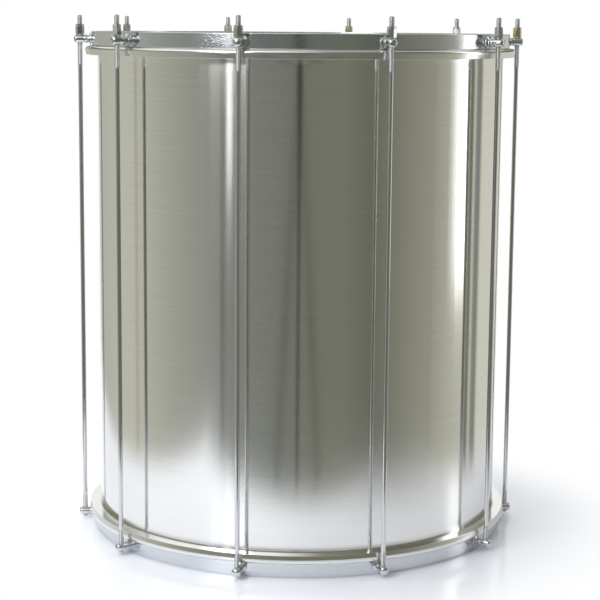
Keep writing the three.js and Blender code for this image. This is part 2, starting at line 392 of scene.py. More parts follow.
to_camera = add_node(board, "ShaderNodeLightPath").outputs["Is Camera Ray"]
fade_far = fade_in(board, distance.outputs["Value"], *FADE_TO_WHITE)
fade = mix_node(board, to_camera, past_board, fade_far, kind="FLOAT")
near = add_node(
    board, "ShaderNodeBsdfPrincipled", Base_Color=BOARD_COLOUR, Roughness=BOARD_ROUGHNESS
)
far_white = add_node(board, "ShaderNodeEmission", Color=WHITE, Strength=1.0)
far_clear = add_node(board, "ShaderNodeBsdfTransparent")
far = mix_shader(board, to_camera, far_clear, far_white)
send_out(board, mix_shader(board, fade, near, far))
print("board", 2 * FLOOR_HALF, "m wide")

# %% [markdown]
# ## Soft lights
# The bright upright lines on the shell are reflections. A broad soft box stands high at the left of
# the camera, with a brighter core, a bright strip at its inner side and a faint wing at the other.
# A tall one with two faint strips stands beside the drum at its right. Two more lamps are kept out
# of the metal: a large one above and behind the drum, which lights the board and throws the drum's
# shadow to the front, and a small fill at the left.

# %% Soft boxes
# how much of the way from level to a straight aim at the drum's middle a lamp leans
LEAN_SHARE = 0.35


def soft_box(name, bearing_degrees, distance_out, middle_height, width, height, power):
    """A rectangular lamp that faces the drum's axis from a bearing."""
    data = bpy.data.lights.new(name, "AREA")
    data.shape = "RECTANGLE"
    data.size, data.size_y = width, height
    data.energy = power
    lamp = bpy.data.objects.new(name, data)
    bpy.context.scene.collection.objects.link(lamp)
    angle = math.radians(bearing_degrees)
    lamp.location = (
        distance_out * math.sin(angle),
        -distance_out * math.cos(angle),
        middle_height,
    )
    toward = Vector((0.0, 0.0, drum_height * MM / 2)) - lamp.location
    toward.z *= LEAN_SHARE
    lamp.rotation_euler = toward.to_track_quat("-Z", "Y").to_euler()
    return lamp


# name, bearing, distance, height of the middle, width, height, and brightness, 1 rendering as white
MIRRORED_BOXES = [
    ("left_broad_box", -41.2, 2.3, 1.37, 0.86, 1.36, 2.9),
    ("left_edge_box", -31.2, 2.3, 1.38, 0.12, 1.3, 2.6),
    ("left_wing_box", -54.5, 2.3, 1.3, 0.22, 1.3, 0.4),
    ("left_core_box", -40.1, 2.28, 1.08, 0.13, 1.62, 0.9),
    ("right_box", 94.4, 2.1, 0.95, 0.4, 1.86, 1.4),
    ("right_wing_box", 87.5, 2.1, 0.95, 0.1, 1.86, 0.55),
    ("right_faint_box", 84.8, 2.1, 0.95, 0.1, 1.86, 0.2),
]
for *where, width, tall, brightness in MIRRORED_BOXES:
    soft_box(*where, width, tall, power=brightness * math.pi * width * tall)

overhead = soft_box("overhead_box", -145.0, 0.4, 2.6, 2.3, 2.3, power=42.5)
overhead.rotation_euler = (-overhead.location).to_track_quat("-Z", "Y").to_euler()
fill = soft_box("left_fill_box", -45.0, 1.3, 0.95, 1.0, 0.8, power=8.0)
overhead.visible_glossy = fill.visible_glossy = False
print(len(MIRRORED_BOXES), "soft boxes in the metal and 2 kept out of it")

bpy.context.scene.view_settings.view_transform = "Standard"

# %% [markdown]
# ## Metal finishes
# The shell is polished round and round, so its grain lies along the rim. Such a grain smears
# reflections up and down but leaves upright edges sharp, which an anisotropic shader does when
# its tangent runs round the drum and its smear is turned a quarter from it.

# %% Finish helpers
PATTERN_LOW, PATTERN_HIGH = 0.3, 0.7


def new_finish(name, colour, roughness, metallic=1.0, anisotropy=0.0):
    """A material, metal if not told otherwise, its tree, its shader and the piece's coordinates."""
    finish, tree = empty_finish(name)
    shader = add_node(
        tree,
        "ShaderNodeBsdfPrincipled",
        Base_Color=(*colour, 1.0),
        Metallic=metallic,
        Roughness=roughness,
        Anisotropic=anisotropy,
    )
    send_out(tree, shader)
    return finish, tree, shader, add_node(tree, "ShaderNodeTexCoord").outputs["Object"]


def noise_of(tree, place, stretch, detail=2.0):
    """Noise with so many grains per metre, one number or one for each axis."""
    scale = stretch if isinstance(stretch, tuple) else (stretch,) * 3
    spread = add_node(tree, "ShaderNodeMapping", Vector=place, Scale=scale).outputs[0]
    noise = add_node(tree, "ShaderNodeTexNoise", Vector=spread, Scale=1.0, Detail=detail)
    return noise.outputs["Fac"]


def plus_share(tree, pattern, extra, share):
    """A pattern with a share of another one added."""
    return math_node(tree, "ADD", pattern, math_node(tree, "MULTIPLY", extra, share))


def bump_of(tree, shader, pattern, strength, depth):
    """Raises a pattern into a bump of the given depth in millimetres."""
    raised = {"Height": pattern, "Strength": strength, "Distance": depth * MM}
    tree.links.new(add_node(tree, "ShaderNodeBump", **raised).outputs[0], shader.inputs["Normal"])


def vary_roughness(tree, shader, pattern, least, most, low=PATTERN_LOW, high=PATTERN_HIGH):
    """Lets a pattern that runs from low to high carry the roughness from least to most."""
    roughness = range_node(tree, pattern, low, high, least, most)
    tree.links.new(roughness, shader.inputs["Roughness"])


def vary_colour(tree, shader, pattern, darker, lighter):
    """Lets a pattern carry the colour from a darker tone to a lighter one."""
    tone = ramp_node(tree, pattern, [(PATTERN_LOW, darker), (PATTERN_HIGH, lighter)])
    tree.links.new(tone, shader.inputs["Base Color"])


# %% Polished aluminium of the shell
GRAIN_SHARE, SPARKLE_SHARE, ROLLING_SHARE, STREAK_SHARE = 0.7, 3.5, 0.8, 0.5
QUARTER_TURN = 0.25
shell_finish, tree, shader, place = new_finish(
    "polished_shell", (0.86, 0.86, 0.84), 0.12, anisotropy=1.0
)
shader.inputs["Anisotropic Rotation"].default_value = QUARTER_TURN
tangent = add_node(tree, "ShaderNodeTangent", direction_type="RADIAL", axis="Z")
tree.links.new(tangent.outputs[0], shader.inputs["Tangent"])
streaks = noise_of(tree, place, (9.0, 9.0, 1300.0), detail=3.0)
grain = noise_of(tree, place, (420.0, 420.0, 1700.0))
sparkle = noise_of(tree, place, (640.0, 640.0, 760.0), detail=1.0)
rolling = noise_of(tree, place, (150.0, 150.0, 1.5))
polish = plus_share(tree, streaks, grain, GRAIN_SHARE)
polish = plus_share(tree, polish, sparkle, SPARKLE_SHARE)
polish = plus_share(tree, polish, rolling, ROLLING_SHARE)
bump_of(tree, shader, polish, strength=1.0, depth=0.007)
hairs = noise_of(tree, place, (9.0, 9.0, 640.0))
vary_colour(tree, shader, hairs, (0.845, 0.84, 0.825), (0.885, 0.88, 0.865))
cloud = noise_of(tree, place, (5.0, 5.0, 9.0), detail=3.0)
patchy = plus_share(tree, cloud, streaks, STREAK_SHARE)
vary_roughness(tree, shader, patchy, 0.08, 0.11, high=1.2)
print(shell_finish.name, len(tree.nodes), "nodes")

# %% Polished aluminium of the flesh hoops
flesh_finish, tree, shader, place = new_finish("turned_flesh_hoop", (0.82, 0.82, 0.8), 0.16)
lines = noise_of(tree, place, (7.0, 7.0, 2400.0))
bump_of(tree, shader, lines, strength=0.15, depth=0.02)
vary_roughness(tree, shader, lines, 0.12, 0.22)

# %% Chrome of the counterhoops
PEEL_SHARE = 0.8
hoop_finish, tree, shader, place = new_finish("hoop_chrome", (0.67, 0.695, 0.73), 0.07)
waves = noise_of(tree, place, (38.0, 38.0, 60.0))
peel = noise_of(tree, place, 640.0, detail=1.0)
bump_of(tree, shader, plus_share(tree, waves, peel, PEEL_SHARE), strength=1.0, depth=0.12)
vary_roughness(tree, shader, noise_of(tree, place, (90.0, 90.0, 300.0), detail=3.0), 0.05, 0.12)

# %% Chrome of the small fittings
fitting_finish, tree, shader, place = new_finish("fitting_chrome", (0.66, 0.675, 0.69), 0.08)
haze = noise_of(tree, place, 160.0, detail=3.0)
vary_roughness(tree, shader, haze, 0.06, 0.14)
bump_of(tree, shader, haze, strength=0.15, depth=0.1)


# %% Plated nuts, bright and yellow
def plated_finish(name, colour, roughness, least, most, bump):
    """A mottled plating."""
    finish, tree, shader, place = new_finish(name, colour, roughness)
    mottle = noise_of(tree, place, 500.0, detail=3.0)
    vary_roughness(tree, shader, mottle, least, most)
    bump_of(tree, shader, mottle, strength=bump, depth=0.1)
    return finish


nut_finish = plated_finish("bright_nut", (0.58, 0.59, 0.57), 0.2, 0.1, 0.24, bump=0.5)
yellow_finish = plated_finish("yellow_nut", (0.74, 0.66, 0.42), 0.28, 0.16, 0.34, bump=0.2)

# %% [markdown]
# ## The heads' film
# The heads are a milky film. It is the one surface here with a colour of its own: slightly warm,
# satin, not perfectly even, and greyer than paper because the dark inside of the drum shows
# through a little.

# %% Film
film_finish, tree, shader, place = new_finish(
    "milky_film", (0.55, 0.543, 0.515), 0.38, metallic=0.0
)
milk = noise_of(tree, place, 9.0, detail=4.0)
vary_colour(tree, shader, milk, (0.5, 0.492, 0.463), (0.57, 0.564, 0.54))
bump_of(tree, shader, noise_of(tree, place, 900.0), strength=0.12, depth=0.1)
vary_roughness(tree, shader, milk, 0.32, 0.45)
print(film_finish.name, len(tree.nodes), "nodes")

# %% [markdown]
# ## Turned pieces
# Most of a drum is round. An outline of radius and height is drawn once, its corners are rounded,
# and it is turned about the drum's axis in steps fine enough to look smooth. A support point just
# outside each rounding keeps the smooth shading of the corner off the flat face beside it, which
# would otherwise mirror the room like a bent sheet.

# %% Turning helpers
TURN_STEPS = 288
CORNER_STEPS = 4
BEND_STEPS = 8
SUPPORT = 0.15
SHARP_DEGREES = 32.0


def arc(centre_x, centre_z, radius, start, end, steps=BEND_STEPS):
    """Points of a round bend, angles in degrees."""
    angles = [math.radians(start + (end - start) * step / steps) for step in range(steps + 1)]
    return [(centre_x + radius * math.cos(a), centre_z + radius * math.sin(a)) for a in angles]


def rounded(corners, steps=CORNER_STEPS):
    """A closed outline through (radius, height, rounding) corners, each one rounded."""
    outline = []
    count = len(corners)
    for index, (x, z, rounding) in enumerate(corners):
        here = Vector((x, z))
        before = (Vector(corners[index - 1][:2]) - here).normalized()
        after = (Vector(corners[(index + 1) % count][:2]) - here).normalized()
        if rounding == 0:
            outline.append(tuple(here))
            continue
        half = before.angle(after) / 2
        reach = rounding / math.tan(half)
        middle = here + (before + after).normalized() * (rounding / math.sin(half))
        start, end = here + before * reach - middle, here + after * reach - middle
        turn = start.angle_signed(end)
        outline.append(tuple(middle + start + before * SUPPORT))
        for step in range(steps + 1):
            # Vector angles count clockwise, a rotation matrix counts the other way
            spun = Matrix.Rotation(-turn * step / steps, 2) @ start
            outline.append(tuple(middle + spun))
        outline.append(tuple(middle + end + after * SUPPORT))
    return outline


def turned_mesh(name, outline, finish, steps=TURN_STEPS):
    """Turns an outline in millimetres about Z. One that starts on the axis ends there too."""
    angles = [math.tau * step / steps for step in range(steps)]
    points, faces = [], []
    on_axis = outline[0][0] == 0
    ring_rows = outline[1:-1] if on_axis else outline
    for radius, height in ring_rows:
        points += [(radius * math.sin(a), -radius * math.cos(a), height) for a in angles]
    rows = len(ring_rows)
    for row in range(rows - 1 if on_axis else rows):
        here, there = row * steps, (row + 1) % rows * steps
        for step in range(steps):
            onward = (step + 1) % steps
            faces.append((here + step, here + onward, there + onward, there + step))
    if on_axis:
        for row, (_, height) in ((0, outline[0]), (rows - 1, outline[-1])):
            pole = len(points)
            points.append((0.0, 0.0, height))
            for step in range(steps):
                edge = (row * steps + step, row * steps + (step + 1) % steps)
                faces.append((*(edge if row else edge[::-1]), pole))
    return solid_piece(name, points, faces, finish)


def smooth_shading(mesh, sharp_degrees=SHARP_DEGREES):
    """Shades a mesh smooth, apart from the edges that turn by more than an angle."""
    mesh.polygons.foreach_set("use_smooth", [True] * len(mesh.polygons))
    mesh.set_sharp_from_angle(angle=math.radians(sharp_degrees))


def solid_piece(name, points, faces, finish):
    """A mesh object in metres from points in millimetres, facing outwards."""
    mesh = bpy.data.meshes.new(name)
    mesh.from_pydata([Vector(point) * MM for point in points], [], faces)
    mesh.calc_loop_triangles()
    triangles = np.array([triangle.vertices for triangle in mesh.loop_triangles])
    corners = np.array([vertex.co for vertex in mesh.vertices])[triangles]
    volume = np.einsum("ij,ij->i", corners[:, 0], np.cross(corners[:, 1], corners[:, 2])).sum()
    if volume < 0:
        mesh.flip_normals()
    smooth_shading(mesh)
    mesh.materials.append(finish)
    piece = bpy.data.objects.new(name, mesh)
    bpy.context.scene.collection.objects.link(piece)
    print(name, len(triangles), "triangles")
    return piece


# %% [markdown]
# ## The shell
# The shell is one sheet, rolled into a tube, with both edges bent inwards over a small radius so
# that the heads bear on a smooth crest. Bending flares the last stretch outwards by a hair, in a
# soft curve, which shows as a plain band beside each flesh hoop.

# %% Shell
SHELL_WALL = 1.5
EDGE_BEND = 4.0
EDGE_LIP = 9.0
LIP_DROP = 1.2
# how far the flare stands out at its end, its knee and its tail
FLARE, FLARE_KNEE, FLARE_TAIL = 0.66, 0.17, 0.04
# how deep below the crest it ends, bends and starts, and how far off its support points are
FLARE_END, FLARE_MIDDLE, FLARE_START = 15.4, 18.9, 22.6
FLARE_EASE = 0.8
bend_centre = shell_radius - EDGE_BEND
lip_radius = shell_radius - EDGE_LIP
upper_bend, lower_bend = upper_crest - EDGE_BEND, lower_crest + EDGE_BEND
flare = [
    (shell_radius + FLARE, FLARE_END - FLARE_EASE),
    (shell_radius + FLARE, FLARE_END),
    (shell_radius + FLARE_KNEE, FLARE_MIDDLE),
    (shell_radius + FLARE_TAIL, (FLARE_MIDDLE + FLARE_START) / 2),
    (shell_radius, FLARE_START),
    (shell_radius, FLARE_START + FLARE_EASE),
]
shell_outline = [
    *arc(bend_centre, lower_bend, EDGE_BEND, -90, 0),
    *[(radius, lower_crest + drop) for radius, drop in flare],
    *[(radius, upper_crest - drop) for radius, drop in reversed(flare)],
    *arc(bend_centre, upper_bend, EDGE_BEND, 0, 90),
    (lip_radius, upper_crest - LIP_DROP),
    (lip_radius, upper_crest - LIP_DROP - SHELL_WALL),
    *arc(bend_centre, upper_bend, EDGE_BEND - SHELL_WALL, 90, 0),
    *arc(bend_centre, lower_bend, EDGE_BEND - SHELL_WALL, 0, -90),
    (lip_radius, lower_crest + LIP_DROP + SHELL_WALL),
    (lip_radius, lower_crest + LIP_DROP),
]
shell = turned_mesh("shell_dressed", shell_outline, shell_finish)
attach(shell, "drum")
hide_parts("shell")

# %% [markdown]
# ## Flesh hoops, heads and counterhoops
# At each end the film lies over the shell's crest and dives into the slot of the flesh hoop. The
# outlines are drawn for the upper end, in heights above the crest, and mirrored for the lower
# one.

# %% Ends of the drum
PIECE_GAP = 0.3
FILM = 0.5
COLLAR_DROP = 3.2
HEM_GAP = 0.8
FLESH_HEIGHT = 10.5
FLESH_DROP = 4.8
FLESH_TAPER = 1.35
FACE_TAPER = 0.35
SLOPE_HEIGHT = 5.0
LINER = 0.9
LINER_DROP = 0.8
SLOT_FLOOR = 1.8
HOOP_WALL = 3.0
SHELL_GAP = 0.7
# roundings of the flesh hoop's corners, up to its soft shoulder, and of the counterhoop's
LINER_CORNER = 0.2
SLOT_CORNER = 0.3
FOOT_CORNER = 0.35
SLOPE_CORNER = 0.6
SHOULDER = 3.6
SHOULDER_STEPS = 6
HOOP_INNER_CORNER = 0.4
HOOP_OUTER_CORNER = 0.7

liner_radius = shell_radius + SHELL_GAP
slot_inner = liner_radius + LINER
hem_inner = slot_inner + PIECE_GAP
hem_outer = hem_inner + FILM
slot_outer = hem_outer + PIECE_GAP
flesh_base = -FLESH_DROP - FLESH_HEIGHT
slot_base = flesh_base + SLOT_FLOOR
collar_base = -EDGE_BEND - COLLAR_DROP
rim_height = drum_height - upper_crest
hoop_base = rim_height - hoop_height

flesh_outline = rounded(
    [
        (liner_radius, flesh_base, SLOT_CORNER),
        (flesh_radius - FLESH_TAPER, flesh_base, FOOT_CORNER),
        (flesh_radius - FACE_TAPER, flesh_base + SLOPE_HEIGHT, SLOPE_CORNER),
        (flesh_radius, -FLESH_DROP, SHOULDER),
        (slot_outer, -FLESH_DROP, SLOT_CORNER),
        (slot_outer, slot_base, 0),
        (slot_inner, slot_base, 0),
        (slot_inner, collar_base - LINER_DROP, LINER_CORNER),
        (liner_radius, collar_base - LINER_DROP, LINER_CORNER),
    ],
    steps=SHOULDER_STEPS,
)
under, over = EDGE_BEND + PIECE_GAP, EDGE_BEND + PIECE_GAP + FILM
head_outline = [
    (0, PIECE_GAP),
    (bend_centre - SUPPORT, PIECE_GAP),
    *arc(bend_centre, -EDGE_BEND, under, 90, 0),
    (hem_inner, collar_base),
    (hem_inner, slot_base + HEM_GAP),
    (hem_outer, slot_base + HEM_GAP),
    (hem_outer, collar_base),
    *arc(bend_centre, -EDGE_BEND, over, 0, 90),
    (bend_centre - SUPPORT, PIECE_GAP + FILM),
    (0, PIECE_GAP + FILM),
]
hoop_outline = rounded(
    [
        (hoop_radius - HOOP_WALL, hoop_base, HOOP_INNER_CORNER),
        (hoop_radius, hoop_base, HOOP_OUTER_CORNER),
        (hoop_radius, rim_height, HOOP_OUTER_CORNER),
        (hoop_radius - HOOP_WALL, rim_height, HOOP_INNER_CORNER),
    ]
)


def upper_end(outline):
    """An outline at the drum's upper end."""
    return [(x, upper_crest + z) for x, z in outline]


def lower_end(outline):
    """The same outline upside down at the lower end."""
    return [(x, lower_crest - z) for x, z in outline]


for end, place_end, hoop_body in (("top", upper_end, "upper_hoop"), ("bottom", lower_end, "drum")):
    head = turned_mesh(f"{end}_film", place_end(head_outline), film_finish)
    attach(head, "drum")
    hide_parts(f"{end}_head")
    flesh = turned_mesh(f"{end}_flesh_ring", place_end(flesh_outline), flesh_finish)
    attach(flesh, "drum")
    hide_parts(f"{end}_flesh_hoop")
    hoop = turned_mesh(f"{end}_band", place_end(hoop_outline), hoop_finish)
    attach(hoop, hoop_body)
    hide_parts(f"{end}_counterhoop")


# %% [markdown]
# ## Repeats with Geometry Nodes
# Ten stations stand round the drum, all alike but for the plating of two nuts. One tree takes a
# piece that was modelled at the front, copies it to each station and gives it its finish. The
# copies are made real at the end, because only real faces travel with the finished model.


# %% The station tree
def geometry_tree(name, inputs):
    """A tree that takes and gives a shape, its two ends, and the keys of its named inputs."""
    tree = bpy.data.node_groups.new(name, "GeometryNodeTree")
    for way in ("INPUT", "OUTPUT"):
        tree.interface.new_socket("Geometry", in_out=way, socket_type="NodeSocketGeometry")
    keys = {}
    for label, (kind, value) in inputs.items():
        socket = tree.interface.new_socket(label, in_out="INPUT", socket_type=f"NodeSocket{kind}")
        if value is not None:
            socket.default_value = value
        keys[label] = socket.identifier
    return tree, tree.nodes.new("NodeGroupInput"), tree.nodes.new("NodeGroupOutput"), keys


def end_tree(tree, shape, group_in, group_out):
    """Makes copies real, gives them their finish and hands them on."""
    real = add_node(tree, "GeometryNodeRealizeInstances", Geometry=shape).outputs[0]
    finish = group_in.outputs["Finish"]
    painted = add_node(tree, "GeometryNodeSetMaterial", Geometry=real, Material=finish)
    tree.links.new(painted.outputs[0], group_out.inputs[0])


def use_tree(piece, tree, keys, values):
    """Adds a tree to a piece as a modifier, with its named inputs filled in."""
    modifier = piece.modifiers.new(tree.name, "NODES")
    modifier.node_group = tree
    for label, value in values.items():
        modifier[keys[label]] = value


stations_tree, group_in, group_out, station_keys = geometry_tree(
    "stations_round_drum",
    {
        "Count": ("Int", stations),
        "First Angle": ("Float", first_station),
        "Step Angle": ("Float", station_step),
        "Finish": ("Material", None),
    },
)
points = add_node(stations_tree, "GeometryNodePoints", Count=group_in.outputs["Count"])
number = add_node(stations_tree, "GeometryNodeInputIndex").outputs[0]
turn = math_node(stations_tree, "MULTIPLY", number, group_in.outputs["Step Angle"])
angle = math_node(stations_tree, "ADD", turn, group_in.outputs["First Angle"])
copies = add_node(
    stations_tree,
    "GeometryNodeInstanceOnPoints",
    Points=points.outputs[0],
    Instance=group_in.outputs["Geometry"],
    Rotation=add_node(stations_tree, "ShaderNodeCombineXYZ", Z=angle).outputs[0],
)
end_tree(stations_tree, copies.outputs[0], group_in, group_out)
print(stations_tree.name, len(stations_tree.nodes), "nodes")


def final_mesh(piece):
    """The result of a piece's modifiers as a plain mesh."""
    graph = bpy.context.evaluated_depsgraph_get()
    return bpy.data.meshes.new_from_object(piece.evaluated_get(graph))


def at_stations(front_piece, name, finish, first=first_station, count=stations):
    """Copies a piece from the front of the drum to its stations, as one plain mesh."""
    values = {"Count": count, "First Angle": first, "Finish": finish}
    use_tree(front_piece, stations_tree, station_keys, values)
    mesh = final_mesh(front_piece)
    mesh.name = name
    bpy.data.objects.remove(front_piece)
    piece = bpy.data.objects.new(name, mesh)
    bpy.context.scene.collection.objects.link(piece)
    print(name, len(mesh.polygons), "faces at", count, "stations")
    return piece


# %% [markdown]
# ## Tension rods
# A rod is a plain shank between two rolled threads. The thread is a helix: a small ridge swept
# along a spiral curve, one millimetre up for each turn, fading out at both ends. Geometry Nodes
# sweep it, so its pitch and its length stay numbers that can be changed.

# %% Thread tree
PITCH = 1.0
THREAD_RADIUS = 3.0
CORE_RADIUS = 2.75
SHANK_RADIUS = 2.7
LOWER_THREAD = 29.0
UPPER_THREAD = 62.0
TURN_RESOLUTION = 14
# the ridge's foot and crest as shares of the pitch, and how many turns it takes to fade
RIDGE_FOOT, RIDGE_CREST = 0.98, 0.66
FADE_TURNS = 0.8

thread_tree, group_in, group_out, thread_keys = geometry_tree(
    "rolled_thread",
    {
        "Pitch": ("Float", PITCH * MM),
        "Core Radius": ("Float", CORE_RADIUS * MM),
        "Crest Radius": ("Float", THREAD_RADIUS * MM),
        "Turns": ("Float", UPPER_THREAD / PITCH),
        "Base Height": ("Float", 0.0),
        "Distance From Axis": ("Float", rod_circle * MM),
        "Finish": ("Material", None),
    },
)
pitch, turns, core = (group_in.outputs[label] for label in ("Pitch", "Turns", "Core Radius"))
spiral = add_node(
    thread_tree,
    "GeometryNodeCurveSpiral",
    Resolution=TURN_RESOLUTION,
    Rotations=turns,
    Start_Radius=core,
    End_Radius=core,
    Height=math_node(thread_tree, "MULTIPLY", turns, pitch),
).outputs[0]
upright = add_node(thread_tree, "GeometryNodeSetCurveNormal", mode="Z_UP", Curve=spiral)

# the ridge is nearly as wide as the pitch at its foot, with a flat rolled crest
# and half of its height inside the core
ridge_height = math_node(thread_tree, "SUBTRACT", group_in.outputs["Crest Radius"], core)
ridge = add_node(
    thread_tree,
    "GeometryNodeCurvePrimitiveQuadrilateral",
    mode="TRAPEZOID",
    Offset=0.0,
    Bottom_Width=math_node(thread_tree, "MULTIPLY", pitch, RIDGE_FOOT),
    Top_Width=math_node(thread_tree, "MULTIPLY", pitch, RIDGE_CREST),
    Height=math_node(thread_tree, "MULTIPLY", ridge_height, 2.0),
).outputs[0]
quarter_back = (0.0, 0.0, -math.pi / 2)
laid = add_node(thread_tree, "GeometryNodeTransform", Geometry=ridge, Rotation=quarter_back)

# the ridge fades in and out over its first and last turns
along = add_node(thread_tree, "GeometryNodeSplineParameter")
turn_at = math_node(thread_tree, "MULTIPLY", along.outputs["Factor"], turns)
turns_left = math_node(thread_tree, "SUBTRACT", turns, turn_at)
nearest_end = math_node(thread_tree, "MINIMUM", turn_at, turns_left)
ridge_scale = math_node(thread_tree, "DIVIDE", nearest_end, FADE_TURNS, clamp=True)
sweep = add_node(
    thread_tree,
    "GeometryNodeCurveToMesh",
    Curve=upright.outputs[0],
    Profile_Curve=laid.outputs[0],
    Scale=ridge_scale,
    Fill_Caps=True,
).outputs[0]
to_front = math_node(thread_tree, "MULTIPLY", group_in.outputs["Distance From Axis"], -1.0)
base = group_in.outputs["Base Height"]
offset = add_node(thread_tree, "ShaderNodeCombineXYZ", Y=to_front, Z=base).outputs[0]
placed = add_node(thread_tree, "GeometryNodeTransform", Geometry=sweep, Translation=offset)
joined = add_node(thread_tree, "GeometryNodeJoinGeometry", Geometry=group_in.outputs["Geometry"])
thread_tree.links.new(placed.outputs[0], joined.inputs[0])
end_tree(thread_tree, joined.outputs[0], group_in, group_out)
print(thread_tree.name, len(thread_tree.nodes), "nodes")

# %% Rods at their stations
ROD_FOOT = rod_low.z
ROD_TIP = rod_high.z
ROD_STEPS = 20
FOOT_CHAMFER, TIP_CHAMFER = 0.7, 0.8
CORE_STEP = 0.25
THREAD_EASE = 0.6
lower_end_height = ROD_FOOT + LOWER_THREAD
upper_end_height = ROD_TIP - UPPER_THREAD
rod_outline = [
    (0, ROD_FOOT),
    (CORE_RADIUS - FOOT_CHAMFER, ROD_FOOT),
    (CORE_RADIUS, ROD_FOOT + FOOT_CHAMFER),
    (CORE_RADIUS, lower_end_height - CORE_STEP - SUPPORT),
    (CORE_RADIUS, lower_end_height - CORE_STEP),
    (SHANK_RADIUS, lower_end_height),
    (SHANK_RADIUS, lower_end_height + SUPPORT),
    (SHANK_RADIUS, upper_end_height - SUPPORT),
    (SHANK_RADIUS, upper_end_height),
    (CORE_RADIUS, upper_end_height + CORE_STEP),
    (CORE_RADIUS, upper_end_height + CORE_STEP + SUPPORT),
    (CORE_RADIUS, ROD_TIP - TIP_CHAMFER),
    (CORE_RADIUS - TIP_CHAMFER, ROD_TIP),
    (0, ROD_TIP),
]


def turned_at_rod(name, outline, finish, steps):
    """Turns an outline about the front rod's axis."""
    piece = turned_mesh(name, outline, finish, steps)
    piece.data.transform(Matrix.Translation((0.0, -rod_circle * MM, 0.0)))
    return piece


front_rod = turned_at_rod("front_rod", rod_outline, fitting_finish, ROD_STEPS)
for base, length in ((ROD_FOOT, LOWER_THREAD), (upper_end_height, UPPER_THREAD)):
    thread = {
        "Turns": (length - 2 * THREAD_EASE) / PITCH,
        "Base Height": (base + THREAD_EASE) * MM,
        "Finish": fitting_finish,
    }
    use_tree(front_rod, thread_tree, thread_keys, thread)
rods = at_stations(front_rod, "threaded_rods", fitting_finish)
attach(rods, "drum")
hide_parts(*[f"tension_rod_{label}" for label in labels])

# %% [markdown]
# ## Lugs
# A lug is a turned post: a base flange against the hoop, a neck, a plain barrel and a domed end.
# Its spigot runs through the hoop and ends in a rivet head inside. The hole for the rod crosses
# the barrel, and an upper lug is countersunk for the nut. The holes are cut with Boolean
# modifiers, whose cutters are removed afterwards.

# %% Lugs
LUG_DROP = 9.5
LUG_RADIUS = 5.3
LUG_PAST_ROD = 8.0
LUG_DOME, DOME_EASE = 3.6, 0.3
BASE_RADIUS, BASE_THICKNESS, BASE_EDGE = 7.8, 2.2, 0.2
NECK_RADIUS, NECK_LENGTH = 4.4, 1.8
BEAD_LENGTH = 4.2
GROOVE_RADIUS, GROOVE_LENGTH = 4.7, 0.5
SPIGOT_RADIUS = 3.0
RIVET_RADIUS, RIVET_THICKNESS = 4.6, 1.8
SEAT_DEPTH, SEAT_RADIUS = 1.6, 4.1
SEAT_MOUTH, SEAT_MOUTH_HEIGHT = 5.7, 4.0
BORE_RADIUS, BORE_PAST = 3.35, 2.0
LUG_STEPS, DOME_STEPS, BEAD_STEPS, BORE_STEPS = 48, 10, 8, 32
# the solid hoop has flat facets, and each lug sits on the middle of one
HOOP_FACETS, FACET_EASE = 50, 0.05
# points of the rivet's rounded head, as shares of its radius and its thickness
RIVET_HEAD = [(0.55, 0.93), (0.85, 0.62), (1.0, 0.2)]
# points of the flange's rounded shoulder, in from its rim and down from its face
SHOULDER_POINTS = [(0.0, 1.2), (0.3, 0.7), (1.2, 0.3)]
# points of the hollow between flange and neck, out from the neck and up from the face
HOLLOW_POINTS = [(0.9, 0.0), (0.2, 0.4), (0.0, 0.9)]
# points where the barrel starts past its groove, in from its radius and on from the groove
BARREL_POINTS = [(0.25, 0.1), (0.0, 0.4)]

lug_seat = hoop_radius * math.cos(math.pi / HOOP_FACETS) - FACET_EASE
rivet_face = lug_seat - HOOP_WALL - PIECE_GAP
base_face = lug_seat + PIECE_GAP
base_end = base_face + BASE_THICKNESS
neck_end = base_end + NECK_LENGTH
bead_end = neck_end + BEAD_LENGTH
groove_end = bead_end + GROOVE_LENGTH
lug_end = rod_circle + LUG_PAST_ROD - DOME_EASE
dome = [
    (LUG_RADIUS * math.cos(angle), lug_end - LUG_DOME + LUG_DOME * math.sin(angle))
    for angle in [math.pi / 2 * step / DOME_STEPS for step in range(DOME_STEPS)]
]
bead = [
    (
        GROOVE_RADIUS + (LUG_RADIUS - GROOVE_RADIUS) * math.sin(angle),
        neck_end + BEAD_LENGTH / 2 * (1 - math.cos(angle)),
    )
    for angle in [math.pi * step / BEAD_STEPS for step in range(1, BEAD_STEPS)]
]
lug_outline = [
    (0, rivet_face - RIVET_THICKNESS),
    *[(RIVET_RADIUS * out, rivet_face - RIVET_THICKNESS * down) for out, down in RIVET_HEAD],
    (RIVET_RADIUS, rivet_face),
    (SPIGOT_RADIUS, rivet_face),
    (SPIGOT_RADIUS, base_face),
    (BASE_RADIUS - BASE_EDGE, base_face),
    (BASE_RADIUS, base_face + BASE_EDGE),
    *[(BASE_RADIUS - inwards, base_end - down) for inwards, down in SHOULDER_POINTS],
    *[(NECK_RADIUS + out, base_end + up) for out, up in HOLLOW_POINTS],
    (NECK_RADIUS, neck_end),
    *bead,
    (GROOVE_RADIUS, bead_end),
    (GROOVE_RADIUS, groove_end),
    *[(LUG_RADIUS - inwards, groove_end + on) for inwards, on in BARREL_POINTS],
    *dome,
    (0, lug_end),
]


def boolean(piece, operation, other):
    """Adds an exact Boolean modifier to a piece."""
    modifier = piece.modifiers.new(operation.lower(), "BOOLEAN")
    modifier.operation = operation
    modifier.solver = "EXACT"
    modifier.object = other


